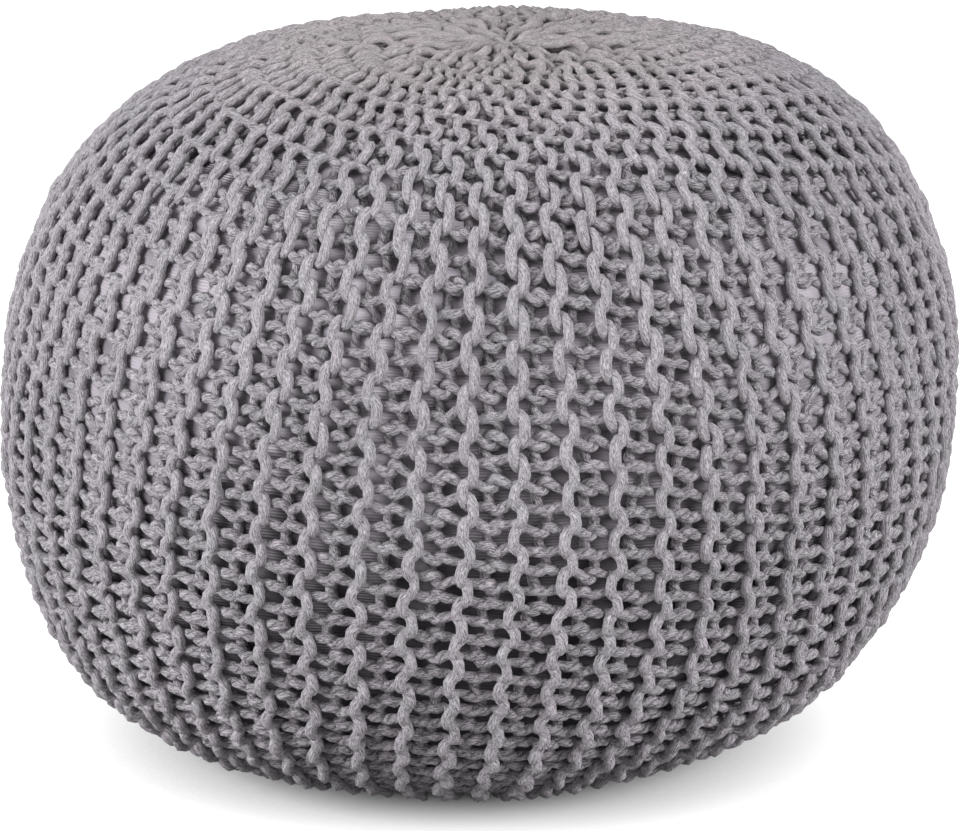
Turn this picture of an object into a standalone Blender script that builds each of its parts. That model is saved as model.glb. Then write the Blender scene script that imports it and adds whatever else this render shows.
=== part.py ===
"""A round knitted floor pouf: one filled form, ribbed from pole to pole and drawn in at the crown.

Metres, +Z up. The origin is on the floor, under the middle of the widest level.
A meridian profile is turned about +Z, its rings are slid sideways as the filling has settled,
and the knitted ribs are raised in the rings' own points.
"""

import math

import bmesh
import bpy

NAME = "knitted_pouf"
COVER = "pouf"

# Driving dimensions
WIDEST_RADIUS = 0.250  # axis to the rib crests
WIDEST_HEIGHT = 0.179  # floor to the widest level
CROWN_RISE = 0.192  # widest level to the crown
BASE_DROP = 0.1827  # widest level to the underside's lowest point, before the floor flattens it
CONTACT_RADIUS = 0.116  # flat patch that the pouf rests on

# How full each half is: powers of the cosine in the radius and of the sine in the height.
# 0.5 and 1.0 make a cushion-like form, and 1.0 and 1.0 an ellipse.
CROWN_FULLNESS = 0.549
CROWN_SHOULDER = 0.941
BASE_FULLNESS = 0.480
BASE_SHOULDER = 1.045

# Knitted ribs
RIB_COUNT = 60
RIB_DEPTH = 0.006
RIB_FULL_RADIUS = 0.110  # the ribs run together and get shallow inside this radius
RIB_FADE = 0.050  # length over which they flatten out towards the contact patch
RIB_SECTION = (0.0, 0.3, 1.0, 0.3)  # depth at the crest, the flank, the groove and the flank

# Crown gather
DIMPLE_DEPTH = 0.0015
DIMPLE_RADIUS = 0.014

# Sideways settling of the filling along +X
LEAN = (
    # (share of the arc from crown to floor, offset)
    (0.00, 0.0120),
    (0.15, 0.0095),
    (0.30, 0.0050),
    (0.45, 0.0015),
    (0.60, -0.0015),
    (0.75, -0.0070),
    (0.88, -0.0145),
    (1.00, -0.0130),
)

# Mesh resolution
RING_COUNT = 23
ARC_SAMPLES = 4000

YARN_COLOUR = (0.37, 0.345, 0.375, 1.0)
YARN_ROUGHNESS = 0.85


def smooth_step(share):
    share = min(max(share, 0.0), 1.0)
    return share * share * (3.0 - 2.0 * share)


def meridian_point(turn):
    """Radius and height at an angle from the widest level: +90 degrees is the crown."""
    cosine = max(math.cos(turn), 0.0)
    sine = math.sin(turn)
    if sine >= 0.0:
        radius = WIDEST_RADIUS * cosine**CROWN_FULLNESS
        rise = CROWN_RISE * sine**CROWN_SHOULDER
    else:
        radius = WIDEST_RADIUS * cosine**BASE_FULLNESS
        rise = -BASE_DROP * (-sine) ** BASE_SHOULDER
    return radius, WIDEST_HEIGHT + rise


def meridian():
    """Evenly spaced (radius, height) points from the crown to the rim of the contact patch."""
    contact_turn = -math.acos((CONTACT_RADIUS / WIDEST_RADIUS) ** (1.0 / BASE_FULLNESS))
    sweep = contact_turn - math.pi / 2.0
    samples = [meridian_point(math.pi / 2.0 + sweep * i / ARC_SAMPLES) for i in range(ARC_SAMPLES + 1)]
    travelled = [0.0]
    for before, after in zip(samples, samples[1:]):
        travelled.append(travelled[-1] + math.dist(before, after))
    points = []
    at = 0
    for ring in range(RING_COUNT + 1):
        target = travelled[-1] * ring / RING_COUNT
        while at < ARC_SAMPLES and travelled[at] < target:
            at += 1
        points.append(samples[at])
    points[-1] = (CONTACT_RADIUS, 0.0)
    return points, travelled[-1]


def lean_at(share):
    """Sideways offset at a share of the arc, eased between the rows of LEAN."""
    for (low, low_offset), (high, high_offset) in zip(LEAN, LEAN[1:]):
        if share <= high:
            return low_offset + (high_offset - low_offset) * smooth_step((share - low) / (high - low))
    return LEAN[-1][1]


def outward(points, ring):
    """Unit normal of the meridian at a ring, as (radial, vertical)."""
    before = points[max(ring - 1, 0)]
    after = points[min(ring + 1, len(points) - 1)]
    along = (after[0] - before[0], after[1] - before[1])
    length = math.hypot(*along)
    return -along[1] / length, along[0] / length


def shaped_point(points, arc, ring, spoke):
    """Where the turned form's point on a ring and a spoke ends up."""
    radius, height = points[ring]
    share = ring / RING_COUNT
    to_floor = arc * (1.0 - share)
    depth = RIB_DEPTH * min(radius / RIB_FULL_RADIUS, 1.0) * smooth_step(to_floor / RIB_FADE)
    depth *= RIB_SECTION[spoke % len(RIB_SECTION)]
    radial, vertical = outward(points, ring)
    dimple = DIMPLE_DEPTH * math.exp(-((radius / DIMPLE_RADIUS) ** 2))
    radius -= depth * radial
    height -= depth * vertical + dimple
    angle = math.tau * spoke / (RIB_COUNT * len(RIB_SECTION))
    return radius * math.cos(angle) + lean_at(share), radius * math.sin(angle), height


def yarn_material():
    material = bpy.data.materials.new("mauve_grey_yarn")
    material.use_nodes = True
    shader = material.node_tree.nodes["Principled BSDF"]
    shader.inputs["Base Color"].default_value = YARN_COLOUR
    shader.inputs["Roughness"].default_value = YARN_ROUGHNESS
    shader.inputs["Metallic"].default_value = 0.0
    return material


def filled_cover(collection):
    """The whole pouf: a sphere whose rings and spokes are moved to the ribbed, settled form."""
    spokes = RIB_COUNT * len(RIB_SECTION)
    points, arc = meridian()
    form = bmesh.new()
    bmesh.ops.create_uvsphere(form, u_segments=spokes, v_segments=RING_COUNT + 1, radius=1.0)
    underside = min(form.verts, key=lambda vertex: vertex.co.z)
    bmesh.ops.dissolve_verts(form, verts=[underside])
    for vertex in form.verts:
        polar = math.acos(min(max(vertex.co.z, -1.0), 1.0))
        ring = round(polar / math.pi * (RING_COUNT + 1))
        spoke = round(math.atan2(vertex.co.y, vertex.co.x) / math.tau * spokes) % spokes
        vertex.co = shaped_point(points, arc, ring, spoke)
    mesh = bpy.data.meshes.new(COVER)
    form.to_mesh(mesh)
    form.free()
    mesh.shade_smooth()
    mesh.materials.append(yarn_material())
    cover = bpy.data.objects.new(COVER, mesh)
    collection.objects.link(cover)
    return cover


def main():
    for old in list(bpy.data.objects):
        bpy.data.objects.remove(old, do_unlink=True)
    collection = bpy.data.collections.new(NAME)
    bpy.context.scene.collection.children.link(collection)
    filled_cover(collection)


main()
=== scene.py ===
"""A knitted floor pouf on a pale studio floor.

The cover is worked sideways in chunky garter stitch: every row of yarn runs from the crown's gather
to the underside's gather, and the rows lie side by side round the pouf. The yarn itself is modelled,
loop by loop, over an inner casing that shows through the gaps.
"""

import math

import bpy
import numpy as np
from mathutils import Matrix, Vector


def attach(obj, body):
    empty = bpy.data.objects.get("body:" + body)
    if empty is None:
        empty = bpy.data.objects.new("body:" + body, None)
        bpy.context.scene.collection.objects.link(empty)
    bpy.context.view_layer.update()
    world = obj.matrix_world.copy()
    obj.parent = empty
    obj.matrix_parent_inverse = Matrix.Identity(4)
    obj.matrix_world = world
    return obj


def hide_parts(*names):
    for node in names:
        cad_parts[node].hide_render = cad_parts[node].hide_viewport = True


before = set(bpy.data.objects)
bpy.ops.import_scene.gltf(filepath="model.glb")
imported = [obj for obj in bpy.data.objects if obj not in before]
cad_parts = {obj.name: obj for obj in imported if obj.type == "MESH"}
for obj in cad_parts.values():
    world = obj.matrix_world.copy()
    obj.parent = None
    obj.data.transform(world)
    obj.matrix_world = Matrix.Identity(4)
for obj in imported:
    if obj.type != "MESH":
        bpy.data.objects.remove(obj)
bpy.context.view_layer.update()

# The filled form, in metres: the same turned and settled shape as the solid
WIDEST_RADIUS = 0.250
WIDEST_HEIGHT = 0.179
CROWN_RISE = 0.192
BASE_DROP = 0.1827
CONTACT_RADIUS = 0.116
CROWN_FULLNESS = 0.549
CROWN_SHOULDER = 0.941
BASE_FULLNESS = 0.480
BASE_SHOULDER = 1.045
DIMPLE_DEPTH = 0.0015
DIMPLE_RADIUS = 0.014
LEAN = np.array(
    (
        # (share of the arc from crown to floor, offset)
        (0.00, 0.0120),
        (0.15, 0.0095),
        (0.30, 0.0050),
        (0.45, 0.0015),
        (0.60, -0.0015),
        (0.75, -0.0070),
        (0.88, -0.0145),
        (1.00, -0.0130),
    )
)
ARC_SAMPLES = 6000

# The fabric
RIDGE_COUNT = 60
ROWS_A_RIDGE = 2
RIDGE_TURN = math.radians(-1.9)  # where the first ridge stands, from +X
FRONT = math.radians(-90.0)
SKEW = 9  # stitches by which the fabric drops over one turn round the pouf
INSET_ARC = 0.35  # where the yarn's radius is taken for how far in the fabric's own middle lies
UPPER_ARC = 0.3  # on the crown's side of this arc, rows that lie calm are lifted to the ridges' height
LEAST_RADIUS = 0.006  # no closer to the axis than this are steps across turned into angles

# How a loop stands out: its outer end is a ridge's bump, and its inner end lies in the valley
RIDGE_RISE = 0.0041  # how far the outer end stands out of the fabric's own middle
LEG_SLOPE = 0.15  # how evenly a loop climbs from one end to the other, 1 for a plain wave
OUTER_STEEPNESS, INNER_STEEPNESS = 2.0, 4.0
TUCK = 0.0012  # how much deeper a loop dives where it passes under the next one
TUCK_PLACE = 0.35  # where it does so: 1 at the bump's top, 0 halfway down the leg
TUCK_REACH = 0.25
TUCK_PITCHES = (0.006, 0.018)  # widths of a ridge over which the dive grows to its full depth
WEAVE = 0.0010  # how far one side of a loop lies over its neighbour, and the other side under the next
WEAVE_PLACE = 0.45
WEAVE_REACH = 0.35

# How a loop lies along and across its ridge. Two values are those of a ridge's two rows, unless the
# comment says otherwise.
OUTER_BELLY = (0.205, 0.200)  # bulge of the outer end along the ridge, in stitch lengths
INNER_BELLY = (0.185, 0.140)  # the same of the inner end
LOOP_SAG = (-0.0014, 0.0042)  # how much lower the inner end hangs
LOWER_CALM = (0.40, 0.02, 0.25)  # how much less of the three there is low down, where the legs lie level
LOWER_ARCS = (0.32, 0.42)  # arcs over which the fabric changes to that
UPPER_SHIFT = (-0.35, 0.30)  # how much more of the first two there is on the shoulder
UPPER_ARCS = (0.15, 0.23)
SPREAD_PITCHES = (0.002, 0.012)  # widths of a ridge over which the loops open across it
WIDE_PITCHES = (0.002, 0.022)  # and over which they take their full form

# Where the fabric is flatter, and how much lower its stitches stand there: at the sides, on the shoulder
FLATTEST = (0.30, 0.45)
SIDES_STRETCH = (0.25, 0.75)  # over which the stretch grows, as the cosine of the angle round
SIDES_STRETCH_ENDS = (0.40, 0.50)  # arcs over which it ends
FLAT_STARTS = (0.03, 0.09)
SHOULDER_ENDS = (0.12, 0.24)

# The yarn's thickness
LEG_THINNING = 0.02  # how much thinner the yarn is drawn between the ridges
LEG_ENDS = 5.0 / 6.0  # how far towards the bump's top the leg reaches
TUCK_THINNING = 0.12  # and further where it is tucked, twice that low down
YARN_UNEVENNESS = 0.05  # how uneven its surface is, as a share
TIGHT_LEG = (-0.15, 0.45)  # part of a loop over which its yarn slackens, from the inner end outwards

# Uneven work: from stitch to stitch, and slowly over the whole
RISE_JITTER = 0.13
SWING_JITTER = 0.07
BELLY_JITTER = 0.18
THICKNESS_JITTER = 0.05
ALONG_JITTER = 0.0005
ACROSS_JITTER = 0.0004
WANDER_ACROSS = 0.0016
WANDER_ALONG = 0.0022
WANDER_OUT = 0.0010

# What changes along a row
STITCH, YARN, CROWDING, CASING, INNER_END, INNER_CROSSING, BUMP = range(1, 8)
FABRIC = np.array(
    (
        # (arc from the crown, stitch length, yarn radius, crowding of the ridges at the front,
        #  casing depth, how far a loop's inner end stands in, how far it crosses the valley's middle,
        #  how far a ridge's bumps stand to each side of its line)
        (0.00, 0.040, 0.0021, 0.10, 0.0022, 0.0040, 0.0000, 0.0026),
        (0.03, 0.038, 0.0023, 0.12, 0.0032, 0.0045, 0.0002, 0.0028),
        (0.06, 0.034, 0.0024, 0.14, 0.0058, 0.0052, 0.0004, 0.0033),
        (0.10, 0.029, 0.0025, 0.16, 0.0094, 0.0058, 0.0004, 0.0037),
        (0.12, 0.027, 0.0025, 0.16, 0.0100, 0.0060, 0.0004, 0.0037),
        (0.15, 0.0245, 0.0025, 0.16, 0.0094, 0.0060, 0.0006, 0.0035),
        (0.18, 0.0255, 0.0026, 0.16, 0.0084, 0.0060, 0.0010, 0.0032),
        (0.22, 0.0262, 0.0027, 0.15, 0.0070, 0.0056, 0.0018, 0.0029),
        (0.27, 0.0230, 0.0028, 0.11, 0.0060, 0.0050, 0.0022, 0.0027),
        (0.32, 0.0206, 0.0028, 0.05, 0.0062, 0.0045, 0.0022, 0.0025),
        (0.37, 0.0206, 0.0028, 0.03, 0.0074, 0.0043, 0.0022, 0.0023),
        (0.42, 0.0212, 0.0029, 0.01, 0.0092, 0.0040, 0.0024, 0.0021),
        (0.54, 0.0222, 0.0029, 0.00, 0.0100, 0.0036, 0.0020, 0.0020),
        (0.60, 0.026, 0.0026, 0.00, 0.0080, 0.0034, 0.0006, 0.0026),
        (0.68, 0.040, 0.0027, 0.00, 0.0045, 0.0032, 0.0000, 0.0025),
        (0.74, 0.046, 0.0022, 0.00, 0.0030, 0.0032, 0.0000, 0.0025),
    )
)

# The gathers at the crown and the underside
ROW_ENDS = (0.004, 0.062, 0.018, 0.062)  # how near to them the rows of every fourth ridge come
OPENING = 0.02  # how far past the longest of these the ridges take to reach their full number
TUCKED_END = 0.006  # how deep the end of a short row is tucked away
TUCKED_STITCHES = 0.5  # over how much of a stitch
CALM_RISE = (0.40, 0.25)  # share of the rise left where the drawn rows lie straight, front and back
CALM_RADIUS = 0.020  # where the rise starts to grow again
CALM_REACH = (0.050, 0.300)  # how far from there it is full again, front and back
BACK_SINES = (-0.25, 1.0)  # over which the front passes into the back, as the sine of the angle round
BACK_ENDS = (0.20, 0.30)  # arcs over which front and back come to be alike
STRAND_RISE = 0.0011  # how unevenly the drawn rows lie over each other at the gathers
STRAND_RADII = (0.03, 0.07)  # over which this ends
GATHER_REACH = 0.009
GATHER_DIP = 0.002

# The casing
CASING_BULGE = 0.0006  # how far it swells and sinks here and there
CASING_SIDE_FILL = 0.0052  # how much fuller it is where the fabric is stretched
CASING_FILL_STARTS = (0.16, 0.24)  # arcs over which it fills out there

# How the meshes are cut up
SIDES = 7
STEPS_A_STITCH = 20
CORNER_CROWDING = 0.35  # how much closer the steps lie where a loop turns
PIECE_COUNT = 6
CASING_RINGS, CASING_SPOKES = 110, 180

# The yarn's look, with colours in linear values. A pair of levels is the part of a noise, or of
# another value, over which a look passes from its one end to its other.
MIDDLE_LEVELS = (0.3, 0.7)
WOUND_ROUGHNESS = 0.65
YARN_TWIST = 17.0  # turns a metre
FIBRES = (YARN_TWIST, 120.0, 4.2, 4.0)  # a noise wound round the yarn: twist, stretch, scale and detail
WAVER = (YARN_TWIST, 90.0, 1.8, 2.0)
FLECKS = (-YARN_TWIST, 210.0, 3.8, 2.0)
YARN_THREADS = 13.0  # threads laid round the yarn
THREAD_WAVER = 16.0  # how much they stray
THREAD_RELIEF = 0.30
FIBRE_LEVELS = (0.32, 0.68)
PLY_TWIST = 62.0  # turns a metre of the plies, which show where the yarn is pulled tight
PLY_COUNT = 3.0
PLY_WAVER = 5.0
PLY_GROOVE = (0.35, 0.95)
PLY_RELIEF = -0.45
PLY_PATCHES = (120.0, 1.0)
PLY_PATCH_SHARES = (0.40, 0.62, 0.35, 1.0)
PLY_SLACK = 0.08  # how much of the plies shows where the yarn is slack
# Painted shade along the lines between the plies, darker low down than above.
PLY_PAINTED_SHADE = (0.42, 0.22)  # how dark the lines between the plies are, low down and above
PLY_HEIGHTS = (0.07, 0.17)
YARN_RELIEF = 0.0008
RELIEF_LEVELS = (0.22, 1.08)  # relief of the deepest shade and of the lightest yarn
LIGHT_GAIN = 0.05
# Painted light low down: the yarn's painted shade is given more contrast there, and its middle tone is
# made paler.
PAINTED_CONTRAST = (1.45, 1.0)  # contrast low down and above
PAINTED_CONTRAST_HEIGHTS = (0.04, 0.19)
PAINTED_MIDDLE = (0.62, 0.5)  # middle tone low down and above
PAINTED_MIDDLE_HEIGHTS = (0.02, 0.10)
MATTED_SHARE = 0.5  # how far the threads run together round the crown's gather
MATTED_LIGHT = 0.52
MATTED_REACH = (0.04, 0.11)
YARN_SHADE = (0.138, 0.123, 0.141, 1.0)
YARN_LIGHT = (0.575, 0.524, 0.582, 1.0)
YARN_FLECK = (0.80, 0.77, 0.81, 1.0)
FLECK_LEVELS = (0.54, 0.74)
FLECK_SHARE = 0.68
YARN_TINT = (0.96, 0.99, 0.97, 1.0)
DYE_SCALE = 46.0
DYE_LEVELS = (0.42, 0.62)
# Painted shade round the crown: the yarn is made a little darker and warmer there.
CROWN_TINT = (1.0, 0.975, 0.92, 1.0)
CROWN_TINT_REACH = (0.08, 0.17)
PATCH_SCALE = 9.0
PATCH_SHADES = (0.90, 1.06)
YARN_ROUGHNESS = (0.98, 0.78)
SOFT_SHINE = 0.25  # specular level of the yarn and the casing
SHEEN, SHEEN_ROUGHNESS = 0.18, 0.5

# The casing's look
CASING_SHADE = (0.250, 0.227, 0.257, 1.0)
CASING_LIGHT = (0.500, 0.457, 0.511, 1.0)
CASING_DYE_SCALE = 45.0
CASING_DYE_LEVELS = (0.40, 0.58)
CASING_LINE_PITCH = 0.0016
CASING_WAVER_SCALE = 30.0
CASING_LINE_WAVER = 9.0
CASING_LINE_PATCHES = (22.0, 1.0)
CASING_LINE_SHARES = (0.38, 0.60, 0.15, 0.90)
CASING_GRAIN = (900.0, 2.0, 0.6)
CASING_GRAIN_WEAR = 0.5
CASING_GRAIN_RELIEF = 0.3
CASING_WEAR_LEVELS = (0.1, 1.3)
CASING_WEAR_SHADES = (0.80, 1.16)
# Painted shade on the casing: a little darker round the crown, much darker low down, and darker at the
# sides.
CASING_ABOVE = (0.08, 0.24, 0.95, 1.0)  # shade at an arc from the crown: from, to, and the shade at each
CASING_BELOW = (0.31, 0.40, 1.0, 0.26)
CASING_BESIDE = (0.08, 0.20, 1.0, 0.70)  # the same at a distance to either side of the middle
CASING_ROUGHNESS = (0.75, 0.95)
CASING_RELIEF = 0.0005

# The studio
CAMERA_ELEVATION = math.radians(15.0)
CAMERA_DISTANCE = 2.5
CAMERA_LENS = 177.6  # in millimetres, as is the sensor's width
SENSOR_WIDTH = 36.0
CAMERA_AIM = (0.0008, 0.0101)  # how far to the right of the widest level's middle, and below it
FLOOR_SIZE = 12.0
FLOOR_GRAIN = 240.0
FLOOR_TONES = (0.45, 0.47)
FLOOR_ROUGHNESS = (0.85, 0.95)
FLOOR_RELIEF = 0.0002
# The floor's glow is painted light. It is least near the pouf, where it paints a soft contact shadow.
GLOW_STARTS, GLOW_FULL = 0.118, 0.215  # distances from the middle of the contact patch
GLOW_LEAST, GLOW_MOST = 0.03, 0.85
TABLE_DROP = 0.002
TABLE_GRAIN = (60.0, 3.0)
TABLE_TONES = (0.67, 0.69)
LAMPS = (
    # (name, place, height aimed at, size, power)
    ("left", (-2.3, -1.5, 1.25), 0.15, 1.6, 114.0),
    ("right", (2.3, -1.5, 1.2), 0.15, 1.6, 90.0),
    ("top", (0.0, -0.2, 3.0), 0.1, 2.6, 5.0),
)
STUDIO_LIGHT = 0.47

MIX_COLOUR_A, MIX_COLOUR_B, MIX_COLOUR_OUT = 6, 7, 2  # a mix node's sockets for colours


def smooth_step(share):
    share = np.clip(share, 0.0, 1.0)
    return share * share * (3.0 - 2.0 * share)


def fade(value, start, end):
    """0 up to the start, 1 from the end on, and eased between them."""
    return smooth_step((value - start) / (end - start))


def along_row(arc, column):
    """A column of FABRIC at an arc from the crown."""
    return np.interp(arc, FABRIC[:, 0], FABRIC[:, column])


def stretched(angle, arc):
    """How far the fabric is stretched at the sides, from 0 to 1."""
    return fade(np.abs(np.cos(angle)), *SIDES_STRETCH) * (1.0 - fade(arc, *SIDES_STRETCH_ENDS))


def flatness(angle, arc):
    """How much lower the stitches stand: at the sides and on the shoulder round the crown."""
    started = fade(arc, *FLAT_STARTS)
    shoulder = started * (1.0 - fade(arc, *SHOULDER_ENDS))
    sides = started * stretched(angle, arc)
    return np.maximum(FLATTEST[0] * sides, FLATTEST[1] * shoulder)


class Form:
    """The turned form, set inwards by a distance: its meridian as functions of the arc."""

    def __init__(self, inset):
        contact_turn = -math.acos((CONTACT_RADIUS / WIDEST_RADIUS) ** (1.0 / BASE_FULLNESS))
        turn = np.linspace(math.pi / 2.0, contact_turn, ARC_SAMPLES)
        cosine = np.maximum(np.cos(turn), 0.0)
        sine = np.abs(np.sin(turn))
        upper = turn >= 0.0
        radius = WIDEST_RADIUS * np.where(upper, cosine**CROWN_FULLNESS, cosine**BASE_FULLNESS)
        rise = np.where(upper, CROWN_RISE * sine**CROWN_SHOULDER, -BASE_DROP * sine**BASE_SHOULDER)
        height = WIDEST_HEIGHT + rise
        height -= np.where(upper, DIMPLE_DEPTH * np.exp(-((radius / DIMPLE_RADIUS) ** 2)), 0.0)
        floor_radius = np.linspace(CONTACT_RADIUS, 0.0, ARC_SAMPLES // 8)[1:]
        radius = np.concatenate((radius, floor_radius))
        height = np.concatenate((height, np.zeros_like(floor_radius)))
        slope_r = np.gradient(radius)
        slope_z = np.gradient(height)
        length = np.hypot(slope_r, slope_z) + 1e-12
        self.normal_r = -slope_z / length
        self.normal_z = slope_r / length
        self.radius = np.maximum(radius - inset * self.normal_r, 0.0)
        self.height = height - inset * self.normal_z
        steps = np.hypot(np.diff(self.radius), np.diff(self.height))
        self.arc = np.concatenate(((0.0,), np.cumsum(steps)))
        self.length = self.arc[-1]
        self.floor_arc = self.arc[ARC_SAMPLES - 1]

    def at(self, arc, values):
        return np.interp(arc, self.arc, values)

    def point(self, angle, arc, out):
        """World points at an angle round, an arc from the crown and a distance outwards."""
        reach = self.at(arc, self.radius) + out * self.at(arc, self.normal_r)
        height = self.at(arc, self.height) + out * self.at(arc, self.normal_z)
        slide = np.interp(arc / self.floor_arc, LEAN[:, 0], LEAN[:, 1])
        return np.stack((reach * np.cos(angle) + slide, reach * np.sin(angle), height), axis=-1)

    def normal(self, angle, arc):
        flat = self.at(arc, self.normal_r)
        return np.stack((flat * np.cos(angle), flat * np.sin(angle), self.at(arc, self.normal_z)), axis=-1)


class Wander:
    """A slow, seeded unevenness over the surface: a few waves round and along it."""

    def __init__(self, rng, waves, most_round, most_along):
        self.round = rng.integers(1, most_round + 1, waves)
        self.along = rng.uniform(-most_along, most_along, waves) * math.tau
        self.start = rng.uniform(0.0, math.tau, waves)
        self.weight = 1.0 / math.sqrt(waves)

    def __call__(self, angle, arc):
        total = 0.0
        for turns, waves, start in zip(self.round, self.along, self.start):
            total = total + np.sin(turns * angle + waves * arc + start)
        return total * self.weight


def stitch_places(form):
    """(stitches from the crown, arc) along a long row."""
    inside = np.flatnonzero(form.radius > min(ROW_ENDS))
    arc = np.linspace(form.arc[inside[0]], form.arc[inside[-1]], ARC_SAMPLES)
    density = 1.0 / along_row(arc, STITCH)
    made = np.concatenate(((0.0,), np.cumsum(0.5 * (density[1:] + density[:-1]) * np.diff(arc))))
    return made * (round(made[-1]) / made[-1]), arc


class Row:
    """What the steps along one row of yarn are worked out from."""

    def __init__(self, form, made, made_arc, number):
        self.ridge, self.after = divmod(number, ROWS_A_RIDGE)
        self.side = 1.0 if self.after == 0 else -1.0
        self.inner_end = ROW_ENDS[self.ridge % len(ROW_ENDS)]
        present = form.arc[np.flatnonzero(form.radius >= self.inner_end)]
        self.first, self.last = np.interp((present[0], present[-1]), made_arc, made)
        self.count = math.ceil(self.last - self.first)
        turns = np.linspace(self.first, self.last, self.count * STEPS_A_STITCH + 1)
        skew = SKEW * self.ridge / RIDGE_COUNT
        corners = 4.0 * math.tau  # a loop bends four times a stitch
        self.turns = turns + CORNER_CROWDING / corners * np.sin(corners * (turns - skew))
        self.theta = math.tau * (self.turns - skew)
        self.facing = -self.side * np.cos(self.theta)  # 1 at the bump's top, -1 in the valley
        self.outer = self.facing > 0.0
        self.arc = np.interp(self.turns, made, made_arc)
        self.radius = form.at(self.arc, form.radius)
        open_share = fade(self.radius, max(ROW_ENDS), max(ROW_ENDS) + OPENING)
        self.pitch = math.tau * self.radius / RIDGE_COUNT * (2.0 - open_share)
        self.wide = fade(self.pitch, *WIDE_PITCHES)
        self.level = fade(self.arc, *LOWER_ARCS)
        self.tucked = np.exp(-(((self.facing - TUCK_PLACE) / TUCK_REACH) ** 2))
        angle = RIDGE_TURN + math.tau * self.ridge / RIDGE_COUNT
        self.angle = angle - along_row(self.arc, CROWDING) * np.sin(angle - FRONT)


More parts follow.
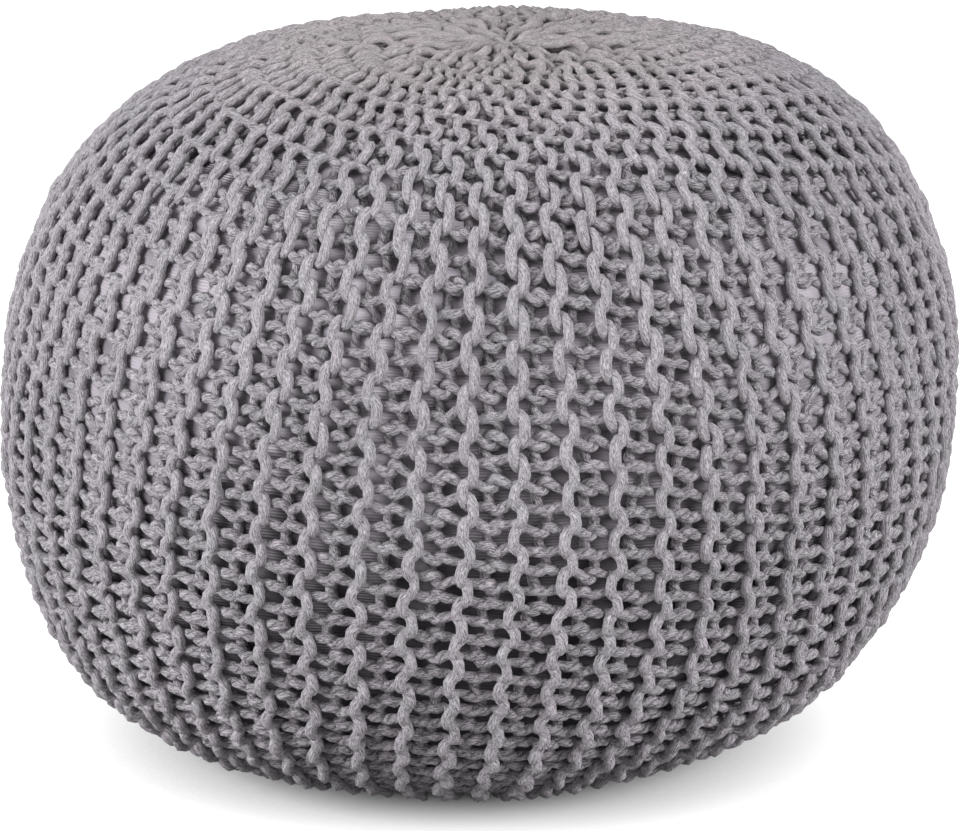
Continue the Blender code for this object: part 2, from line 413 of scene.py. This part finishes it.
class Knit:
    """Where every row of yarn runs."""

    def __init__(self, seed):
        self.form = Form(RIDGE_RISE + along_row(INSET_ARC, YARN))
        self.made, self.made_arc = stitch_places(self.form)
        self.rng = np.random.default_rng(seed)
        self.sideways = Wander(self.rng, waves=10, most_round=9, most_along=9.0)
        self.lengthways = Wander(self.rng, waves=10, most_round=9, most_along=6.0)
        self.lumps = Wander(self.rng, waves=12, most_round=14, most_along=12.0)

    def jitter(self, count, spread):
        """Uneven tension: a random value at each half stitch, eased between them."""
        knots = self.rng.normal(0.0, spread, 2 * count + 2)
        place = np.linspace(0.0, 2.0 * count, count * STEPS_A_STITCH + 1)
        low = np.floor(place).astype(int)
        share = smooth_step(place - low)
        return knots[low] * (1.0 - share) + knots[low + 1] * share

    def rise(self, row):
        """How far out of the fabric's middle the steps stand."""
        behind = fade(np.sin(row.angle), *BACK_SINES) * (1.0 - fade(row.arc, *BACK_ENDS))
        reach = CALM_REACH[0] + (CALM_REACH[1] - CALM_REACH[0]) * behind
        calm = CALM_RISE[0] + (CALM_RISE[1] - CALM_RISE[0]) * behind
        calm = calm + (1.0 - calm) * fade(row.radius, CALM_RADIUS, CALM_RADIUS + reach)
        flat = flatness(row.angle, row.arc)
        lifted = RIDGE_RISE * np.where(row.arc < UPPER_ARC, 1.0 - calm * (1.0 - flat), flat)
        calm = calm * (1.0 - flat)
        steepness = np.where(row.outer, OUTER_STEEPNESS, INNER_STEEPNESS)
        climb = calm * row.facing * (LEG_SLOPE + (1.0 - LEG_SLOPE) * np.abs(row.facing) ** steepness)
        end = np.where(row.outer, RIDGE_RISE, along_row(row.arc, INNER_END))
        out = end * climb * (1.0 + self.jitter(row.count, RISE_JITTER))
        out = out - TUCK * calm * row.tucked * fade(row.pitch, *TUCK_PITCHES) + lifted
        woven = row.side * np.sin(row.theta) * np.exp(-(((row.facing - WEAVE_PLACE) / WEAVE_REACH) ** 2))
        return out + WEAVE * calm * row.wide * woven

    def swing(self, row):
        """How far across from the ridge's line the steps lie."""
        crossing = np.where(row.outer, along_row(row.arc, BUMP), along_row(row.arc, INNER_CROSSING))
        reach = row.pitch / 4.0 + crossing * fade(row.pitch, *SPREAD_PITCHES)
        reach = reach * (1.0 + self.jitter(row.count, SWING_JITTER))
        return row.side * (reach * row.facing - row.pitch / 4.0)

    def slide(self, row):
        """How far along the ridge the steps lie from their places on a plain wave."""
        shoulder = 1.0 - fade(row.arc, *UPPER_ARCS)
        outer = OUTER_BELLY[row.after] * (1.0 - LOWER_CALM[0] * row.level + UPPER_SHIFT[0] * shoulder)
        inner = INNER_BELLY[row.after] * (1.0 - LOWER_CALM[1] * row.level + UPPER_SHIFT[1] * shoulder)
        belly = np.where(row.outer, outer, inner) * along_row(row.arc, STITCH) * row.wide
        belly = belly * (1.0 + self.jitter(row.count, BELLY_JITTER))
        inwards = 0.5 - 0.5 * row.facing
        sag = LOOP_SAG[row.after] * (1.0 - LOWER_CALM[2] * row.level) * row.wide * inwards
        return belly * np.sin(2.0 * row.theta) + sag + self.jitter(row.count, ALONG_JITTER)

    def gathered(self, row):
        """How far out the drawn rows lie over each other at the gathers, and how deep short ones end."""
        drawn = 1.0 - fade(row.radius, *STRAND_RADII)
        ends = smooth_step(1.0 - (row.radius - min(ROW_ENDS)) / GATHER_REACH)
        out = drawn * self.rng.normal(0.0, STRAND_RISE) - GATHER_DIP * ends
        if row.inner_end > min(ROW_ENDS):
            to_end = np.minimum(row.turns - row.first, row.last - row.turns)
            out = out - TUCKED_END * smooth_step(1.0 - to_end / TUCKED_STITCHES)
        return out

    def thickness(self, row):
        """The yarn's radius."""
        thin = LEG_THINNING * (1.0 - fade(row.facing, 0.0, LEG_ENDS))
        thin = row.wide * (thin + TUCK_THINNING * (1.0 + row.level) * row.tucked)
        uneven = 1.0 + self.jitter(row.count, THICKNESS_JITTER)
        return along_row(row.arc, YARN) * (1.0 - thin) * uneven

    def lay(self, number):
        """Middle line, surface normals, radii and how tight the yarn is pulled, along one row of yarn."""
        row = Row(self.form, self.made, self.made_arc, number)
        out = self.rise(row)
        across = self.swing(row)
        along = row.arc + self.slide(row)
        across = across + WANDER_ACROSS * self.sideways(row.angle, row.arc)
        across = across + self.jitter(row.count, ACROSS_JITTER)
        along = along + WANDER_ALONG * self.lengthways(row.angle, row.arc)
        out = out + WANDER_OUT * self.lumps(row.angle, row.arc) + self.gathered(row)
        thick = self.thickness(row)
        angle = row.angle + across / np.maximum(row.radius, LEAST_RADIUS)
        points = self.form.point(angle, along, out)
        points[:, 2] = np.maximum(points[:, 2], thick)
        tight = 1.0 - fade(row.facing, *TIGHT_LEG)
        return points, self.form.normal(angle, along), thick, tight


def yarn_tube(points, normals, radii, tight):
    """One closed length of yarn: vertices, side faces and the corners' (run, round) and (pull, 0)."""
    tangent = np.gradient(points, axis=0)
    tangent /= np.linalg.norm(tangent, axis=1, keepdims=True)
    side = np.cross(tangent, normals)
    side /= np.linalg.norm(side, axis=1, keepdims=True)
    up = np.cross(side, tangent)
    around = math.tau * np.arange(SIDES) / SIDES
    ring = np.cos(around)[None, :, None] * up[:, None, :]
    ring = ring + np.sin(around)[None, :, None] * side[:, None, :]
    rng = np.random.default_rng(len(points))
    uneven = rng.normal(1.0, YARN_UNEVENNESS, (len(points), SIDES, 1))
    vertices = (points[:, None, :] + radii[:, None, None] * uneven * ring).reshape(-1, 3)
    vertices[:, 2] = np.maximum(vertices[:, 2], 0.0)

    here = np.arange(len(points) - 1)[:, None]
    spoke = np.arange(SIDES)[None, :]
    after = (spoke + 1) % SIDES
    start, end = here * SIDES, (here + 1) * SIDES
    quads = np.stack((start + spoke, end + spoke, end + after, start + after), axis=-1).reshape(-1, 4)

    steps = np.linalg.norm(np.diff(points, axis=0), axis=1)
    run = np.concatenate(((0.0,), np.cumsum(steps)))
    shape = (len(points) - 1, SIDES)
    near = np.broadcast_to(run[:-1, None], shape)
    far = np.broadcast_to(run[1:, None], shape)
    low = np.broadcast_to(spoke / SIDES, shape)
    high = np.broadcast_to((spoke + 1) / SIDES, shape)
    runs = np.stack((near, low, far, low, far, high, near, high), axis=-1).reshape(-1, 2)
    pull = np.stack((tight[:-1], tight[1:], tight[1:], tight[:-1]), axis=-1)
    pull = np.repeat(pull[:, None, :], SIDES, axis=1).reshape(-1)
    return vertices, quads, runs, np.stack((pull, np.zeros_like(pull)), axis=-1)


def add_layer(mesh, name, places):
    layer = mesh.uv_layers.new(name=name)
    layer.data.foreach_set("uv", np.concatenate(places).astype(np.float32).ravel())


def add_piece(mesh, material):
    mesh.shade_smooth()
    mesh.materials.append(material)
    piece = bpy.data.objects.new(mesh.name, mesh)
    bpy.context.scene.collection.objects.link(piece)
    return piece


def knit_piece(name, knit, rows, material):
    """Some neighbouring rows of yarn as one mesh, each row a closed length."""
    vertices, faces, runs, pulls = [], [], [], []
    caps = np.zeros((2 * SIDES, 2))
    for number in rows:
        tube, quads, tube_runs, tube_pulls = yarn_tube(*knit.lay(number))
        base = len(vertices)
        last = base + len(tube) - SIDES
        vertices.extend(tube.tolist())
        faces.extend((quads + base).tolist())
        faces.append([base + spoke for spoke in range(SIDES)])
        faces.append([last + spoke for spoke in reversed(range(SIDES))])
        runs.extend((tube_runs, caps))
        pulls.extend((tube_pulls, caps))
    mesh = bpy.data.meshes.new(name)
    mesh.from_pydata(vertices, [], faces)
    add_layer(mesh, "YarnRun", runs)
    add_layer(mesh, "YarnPull", pulls)
    return add_piece(mesh, material)


def casing_piece(knit, material):
    """The smooth inner casing, filled out against the inside of the fabric."""
    rings, spokes = CASING_RINGS, CASING_SPOKES
    inner = knit.form
    arc = np.linspace(0.0, inner.length, rings + 1)[1:-1, None] * np.ones((1, spokes))
    angle = math.tau * np.arange(spokes)[None, :] / spokes * np.ones((len(arc), 1))
    out = CASING_BULGE * knit.lumps(angle, arc) - along_row(arc, CASING)
    out = out + RIDGE_RISE * flatness(angle, arc)
    out = out + CASING_SIDE_FILL * stretched(angle, arc) * fade(arc, *CASING_FILL_STARTS)
    vertices = inner.point(angle, arc, out).reshape(-1, 3).tolist()
    crown = len(vertices)
    for end in (0.0, inner.length):
        vertices.append(inner.point(0.0, end, -along_row(end, CASING)).tolist())
    faces = []
    for spoke in range(spokes):
        after = (spoke + 1) % spokes
        faces.append((crown, spoke, after))
        for ring in range(len(arc) - 1):
            here, below = ring * spokes, (ring + 1) * spokes
            faces.append((here + spoke, below + spoke, below + after, here + after))
        faces.append((crown + 1, crown - spokes + after, crown - spokes + spoke))
    mesh = bpy.data.meshes.new("casing")
    mesh.from_pydata(vertices, [], faces)
    layer = mesh.uv_layers.new(name="CasingArc")
    for polygon in mesh.polygons:
        for loop in polygon.loop_indices:
            ring, spoke = divmod(mesh.loops[loop].vertex_index, spokes)
            layer.data[loop].uv = (spoke / spokes, inner.length * (ring + 1) / (rings + 1))
    return add_piece(mesh, material)


class Sheet:
    """A material's node sheet, with short calls for the nodes used here."""

    def __init__(self, name):
        self.material = bpy.data.materials.new(name)
        self.material.use_nodes = True
        self.tree = self.material.node_tree
        self.shader = self.tree.nodes["Principled BSDF"]

    def plug(self, socket, value):
        if isinstance(value, bpy.types.NodeSocket):
            self.tree.links.new(value, socket)
        else:
            socket.default_value = value

    def math(self, operation, *values):
        node = self.tree.nodes.new("ShaderNodeMath")
        node.operation = operation
        for socket, value in zip(node.inputs, values):
            self.plug(socket, value)
        return node.outputs[0]

    def times(self, first, second):
        return self.math("MULTIPLY", first, second)

    def waves(self, angle):
        """The sine of an angle, from 0 to 1."""
        return self.math("MULTIPLY_ADD", self.math("SINE", angle), 0.5, 0.5)

    def object_place(self):
        return self.tree.nodes.new("ShaderNodeTexCoord").outputs["Object"]

    def axes(self, place):
        node = self.tree.nodes.new("ShaderNodeSeparateXYZ")
        self.plug(node.inputs[0], place)
        return node.outputs[0], node.outputs[1], node.outputs[2]

    def map_axes(self, layer):
        node = self.tree.nodes.new("ShaderNodeUVMap")
        node.uv_map = layer
        return self.axes(node.outputs[0])[:2]

    def vector(self, x, y, z):
        node = self.tree.nodes.new("ShaderNodeCombineXYZ")
        for socket, value in zip(node.inputs, (x, y, z)):
            self.plug(socket, value)
        return node.outputs[0]

    def grey(self, tone):
        return self.vector(tone, tone, tone)

    def noise(self, place, scale, detail=2.0, roughness=0.5):
        node = self.tree.nodes.new("ShaderNodeTexNoise")
        self.plug(node.inputs["Vector"], place)
        node.inputs["Scale"].default_value = scale
        node.inputs["Detail"].default_value = detail
        node.inputs["Roughness"].default_value = roughness
        return node.outputs["Fac"]

    def mottle(self, scale, detail=2.0, roughness=0.5):
        """Noise through the piece's own space."""
        return self.noise(self.object_place(), scale, detail, roughness)

    def wound(self, run, turn, twist, stretch, scale, detail):
        """An angle wound round the yarn, and noise that follows it, `stretch` times as fine along it."""
        angle = self.times(self.math("MULTIPLY_ADD", run, twist, turn), math.tau)
        along = self.times(run, stretch)
        place = self.vector(self.math("COSINE", angle), self.math("SINE", angle), along)
        return angle, self.noise(place, scale, detail, WOUND_ROUGHNESS)

    def spread(self, value, low, high, to_low=0.0, to_high=1.0):
        """A value's place between two levels, spread over another pair of them."""
        node = self.tree.nodes.new("ShaderNodeMapRange")
        for socket, setting in zip(node.inputs, (value, low, high, to_low, to_high)):
            self.plug(socket, setting)
        return node.outputs[0]

    def mix(self, share, first, second, blend="MIX"):
        node = self.tree.nodes.new("ShaderNodeMix")
        node.data_type = "RGBA"
        node.blend_type = blend
        self.plug(node.inputs[0], share)
        self.plug(node.inputs[MIX_COLOUR_A], first)
        self.plug(node.inputs[MIX_COLOUR_B], second)
        return node.outputs[MIX_COLOUR_OUT]

    def multiply(self, colour, tint):
        return self.mix(1.0, colour, tint, "MULTIPLY")

    def bump(self, height, distance):
        node = self.tree.nodes.new("ShaderNodeBump")
        node.inputs["Distance"].default_value = distance
        self.plug(node.inputs["Height"], height)
        self.plug(self.shader.inputs["Normal"], node.outputs[0])

    def coat(self, colour, roughness, specular):
        self.plug(self.shader.inputs["Base Color"], colour)
        self.plug(self.shader.inputs["Roughness"], roughness)
        self.shader.inputs["Specular IOR Level"].default_value = specular


def ply_grooves(sheet, run, turn, waver):
    """The lines between the yarn's plies, where it is pulled tight."""
    ply_turn = sheet.math("MULTIPLY_ADD", run, PLY_TWIST, turn)
    ply_waver = sheet.times(sheet.math("SUBTRACT", waver, 0.5), PLY_WAVER)
    ply_angle = sheet.math("MULTIPLY_ADD", ply_turn, math.tau * PLY_COUNT, ply_waver)
    grooves = sheet.spread(sheet.math("SINE", ply_angle), *PLY_GROOVE)
    here = sheet.spread(sheet.mottle(*PLY_PATCHES), *PLY_PATCH_SHARES)
    tight = sheet.spread(sheet.map_axes("YarnPull")[0], 0.0, 1.0, PLY_SLACK, 1.0)
    return sheet.times(grooves, sheet.times(here, tight))


def painted_yarn_shading(sheet, relief, grooves, matted, height):
    """Painted light and shade on the yarn: darker where its relief is low and along the grooves between
    its plies.
    """
    clear = sheet.math("SUBTRACT", 1.0, matted)
    # Painted shade: the yarn is darker where its relief is low.
    light = sheet.times(sheet.spread(relief, *RELIEF_LEVELS), clear)
    light = sheet.math("MULTIPLY_ADD", matted, MATTED_LIGHT, light)
    showing = sheet.spread(height, *PLY_HEIGHTS, *PLY_PAINTED_SHADE)
    # Painted shade along the ply grooves.
    light = sheet.math("SUBTRACT", light, sheet.times(grooves, sheet.times(showing, clear)))
    light = sheet.math("ADD", light, LIGHT_GAIN)
    # Painted light: more contrast and a paler middle tone low down.
    painted_contrast = sheet.spread(height, *PAINTED_CONTRAST_HEIGHTS, *PAINTED_CONTRAST)
    pale = sheet.spread(height, *PAINTED_MIDDLE_HEIGHTS, *PAINTED_MIDDLE)
    return sheet.math("MULTIPLY_ADD", sheet.math("SUBTRACT", light, 0.5), painted_contrast, pale)


def yarn_material():
    """Soft-spun yarn: fine threads laid along it with a slow twist, flecked and a little uneven in dye."""
    sheet = Sheet("mauve_grey_yarn")
    run, turn = sheet.map_axes("YarnRun")
    angle, fibres = sheet.wound(run, turn, *FIBRES)
    waver = sheet.wound(run, turn, *WAVER)[1]
    flecks = sheet.wound(run, turn, *FLECKS)[1]
    strand_angle = sheet.math("MULTIPLY_ADD", angle, YARN_THREADS, sheet.times(waver, THREAD_WAVER))
    strands = sheet.waves(strand_angle)
    grooves = ply_grooves(sheet, run, turn, waver)
    relief = sheet.math("MULTIPLY_ADD", strands, THREAD_RELIEF, sheet.spread(fibres, *FIBRE_LEVELS))
    relief = sheet.math("MULTIPLY_ADD", grooves, PLY_RELIEF, relief)

    x, y, height = sheet.axes(sheet.object_place())
    squares = sheet.math("ADD", sheet.math("POWER", x, 2.0), sheet.math("POWER", y, 2.0))
    reach = sheet.math("SQRT", squares)
    matted = sheet.spread(reach, *MATTED_REACH, MATTED_SHARE, 0.0)
    # The yarn's colour carries painted shade from its relief and its ply grooves.
    colour = sheet.mix(painted_yarn_shading(sheet, relief, grooves, matted, height), YARN_SHADE, YARN_LIGHT)
    colour = sheet.mix(sheet.spread(flecks, *FLECK_LEVELS, 0.0, FLECK_SHARE), colour, YARN_FLECK)
    dye = sheet.spread(sheet.mottle(DYE_SCALE), *DYE_LEVELS)
    colour = sheet.mix(dye, colour, sheet.multiply(colour, YARN_TINT))
    # Painted shade: darker and warmer round the crown.
    crown = sheet.spread(reach, *CROWN_TINT_REACH, 1.0, 0.0)
    colour = sheet.mix(crown, colour, sheet.multiply(colour, CROWN_TINT))
    shade = sheet.spread(sheet.mottle(PATCH_SCALE), *MIDDLE_LEVELS, *PATCH_SHADES)
    colour = sheet.multiply(colour, sheet.grey(shade))
    sheet.coat(colour, sheet.spread(fibres, *MIDDLE_LEVELS, *YARN_ROUGHNESS), SOFT_SHINE)
    sheet.shader.inputs["Sheen Weight"].default_value = SHEEN
    sheet.shader.inputs["Sheen Roughness"].default_value = SHEEN_ROUGHNESS
    sheet.bump(relief, YARN_RELIEF)
    return sheet.material


def casing_material():
    """Thin stretched jersey: fine lines round it, greyer and plainer than the yarn, with painted shade
    over it.
    """
    sheet = Sheet("casing_cloth")
    arc = sheet.map_axes("CasingArc")[1]
    waver = sheet.times(sheet.mottle(CASING_WAVER_SCALE), CASING_LINE_WAVER)
    lines = sheet.waves(sheet.math("MULTIPLY_ADD", arc, math.tau / CASING_LINE_PITCH, waver))
    showing = sheet.spread(sheet.mottle(*CASING_LINE_PATCHES), *CASING_LINE_SHARES)
    lines = sheet.times(lines, showing)
    grain = sheet.mottle(*CASING_GRAIN)
    colour = sheet.spread(sheet.mottle(CASING_DYE_SCALE), *CASING_DYE_LEVELS)
    colour = sheet.mix(colour, CASING_SHADE, CASING_LIGHT)
    ribs_and_painted_shade = sheet.math("MULTIPLY_ADD", grain, CASING_GRAIN_WEAR, lines)
    ribs_and_painted_shade = sheet.spread(ribs_and_painted_shade, *CASING_WEAR_LEVELS, *CASING_WEAR_SHADES)
    # Painted shade: the casing is darkened round the crown, low down and at the sides.
    above = sheet.spread(arc, *CASING_ABOVE)
    below = sheet.spread(arc, *CASING_BELOW)
    across = sheet.axes(sheet.object_place())[0]
    beside = sheet.spread(sheet.math("ABSOLUTE", across), *CASING_BESIDE)
    ribs_and_painted_shade = sheet.times(sheet.times(ribs_and_painted_shade, beside), sheet.times(above, below))
    colour = sheet.multiply(colour, sheet.grey(ribs_and_painted_shade))
    sheet.coat(colour, sheet.spread(grain, *MIDDLE_LEVELS, *CASING_ROUGHNESS), SOFT_SHINE)
    sheet.bump(sheet.math("MULTIPLY_ADD", grain, CASING_GRAIN_RELIEF, lines), CASING_RELIEF)
    return sheet.material


def declare(piece):
    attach(piece, "root")
    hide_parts("pouf")


def build_pouf():
    knit = Knit(seed=7)
    yarn = yarn_material()
    rows = RIDGE_COUNT * ROWS_A_RIDGE
    share = rows // PIECE_COUNT
    for number in range(PIECE_COUNT):
        piece_rows = range(number * share, (number + 1) * share)
        declare(knit_piece(f"knit_{number + 1}", knit, piece_rows, yarn))
    declare(casing_piece(knit, casing_material()))


def build_table():
    """A grey surface just under the floor, off which diffuse light comes back at the pouf."""
    bpy.ops.object.select_all(action="DESELECT")
    bpy.ops.mesh.primitive_plane_add(size=FLOOR_SIZE, location=(0.0, 0.0, -TABLE_DROP))
    table = bpy.context.object
    table.name = "table"
    sheet = Sheet("table_grey")
    tone = sheet.spread(sheet.mottle(*TABLE_GRAIN), *MIDDLE_LEVELS, *TABLE_TONES)
    sheet.plug(sheet.shader.inputs["Base Color"], sheet.grey(tone))
    table.data.materials.append(sheet.material)


def build_floor():
    """The pale floor in view. It glows away from the pouf: painted light that dims near the pouf into a
    painted contact shadow.
    """
    bpy.ops.object.select_all(action="DESELECT")
    bpy.ops.mesh.primitive_plane_add(size=FLOOR_SIZE)
    plane = bpy.context.object
    plane.name = "floor"
    plane.visible_diffuse = False  # so that the table's grey is what lights the pouf from below
    sheet = Sheet("floor_white")
    grain = sheet.mottle(FLOOR_GRAIN)
    tone = sheet.spread(grain, *MIDDLE_LEVELS, *FLOOR_TONES)
    sheet.coat(sheet.grey(tone), sheet.spread(grain, *MIDDLE_LEVELS, *FLOOR_ROUGHNESS), 0.0)
    away = sheet.tree.nodes.new("ShaderNodeVectorMath")
    away.operation = "DISTANCE"
    sheet.plug(away.inputs[0], sheet.object_place())
    away.inputs[1].default_value = (LEAN[-1, 1], 0.0, 0.0)
    # Painted glow and painted contact shadow, by distance from the pouf.
    glow = sheet.spread(away.outputs["Value"], GLOW_STARTS, GLOW_FULL, GLOW_LEAST, GLOW_MOST)
    sheet.plug(sheet.shader.inputs["Emission Color"], sheet.grey(glow))
    sheet.shader.inputs["Emission Strength"].default_value = 1.0
    sheet.bump(grain, FLOOR_RELIEF)
    plane.data.materials.append(sheet.material)


def build_camera():
    tilt = CAMERA_ELEVATION
    up = Vector((0.0, math.sin(tilt), math.cos(tilt)))
    ahead = Vector((0.0, math.cos(tilt), -math.sin(tilt)))
    aim = Vector((CAMERA_AIM[0], 0.0, WIDEST_HEIGHT)) - up * CAMERA_AIM[1]
    data = bpy.data.cameras.new("camera")
    data.lens = CAMERA_LENS
    data.sensor_width = SENSOR_WIDTH
    camera = bpy.data.objects.new("camera", data)
    camera.location = aim - ahead * CAMERA_DISTANCE
    camera.rotation_euler = ahead.to_track_quat("-Z", "Y").to_euler()
    bpy.context.scene.collection.objects.link(camera)
    bpy.context.scene.camera = camera


def build_lamp(name, place, aimed_at, size, power):
    light = bpy.data.lights.new(name, "AREA")
    light.shape = "DISK"
    light.size = size
    light.energy = power
    lamp = bpy.data.objects.new(name, light)
    lamp.location = place
    aim = Vector((0.0, 0.0, aimed_at)) - Vector(place)
    lamp.rotation_euler = aim.to_track_quat("-Z", "Y").to_euler()
    bpy.context.scene.collection.objects.link(lamp)


def build_light():
    for lamp in LAMPS:
        build_lamp(*lamp)
    world = bpy.data.worlds.new("studio")
    bpy.context.scene.world = world
    world.use_nodes = True
    background = world.node_tree.nodes["Background"]
    background.inputs["Color"].default_value = (1.0, 1.0, 1.0, 1.0)
    background.inputs["Strength"].default_value = STUDIO_LIGHT
    bpy.context.scene.view_settings.view_transform = "Standard"


build_camera()
build_light()
build_table()
build_floor()
build_pouf()
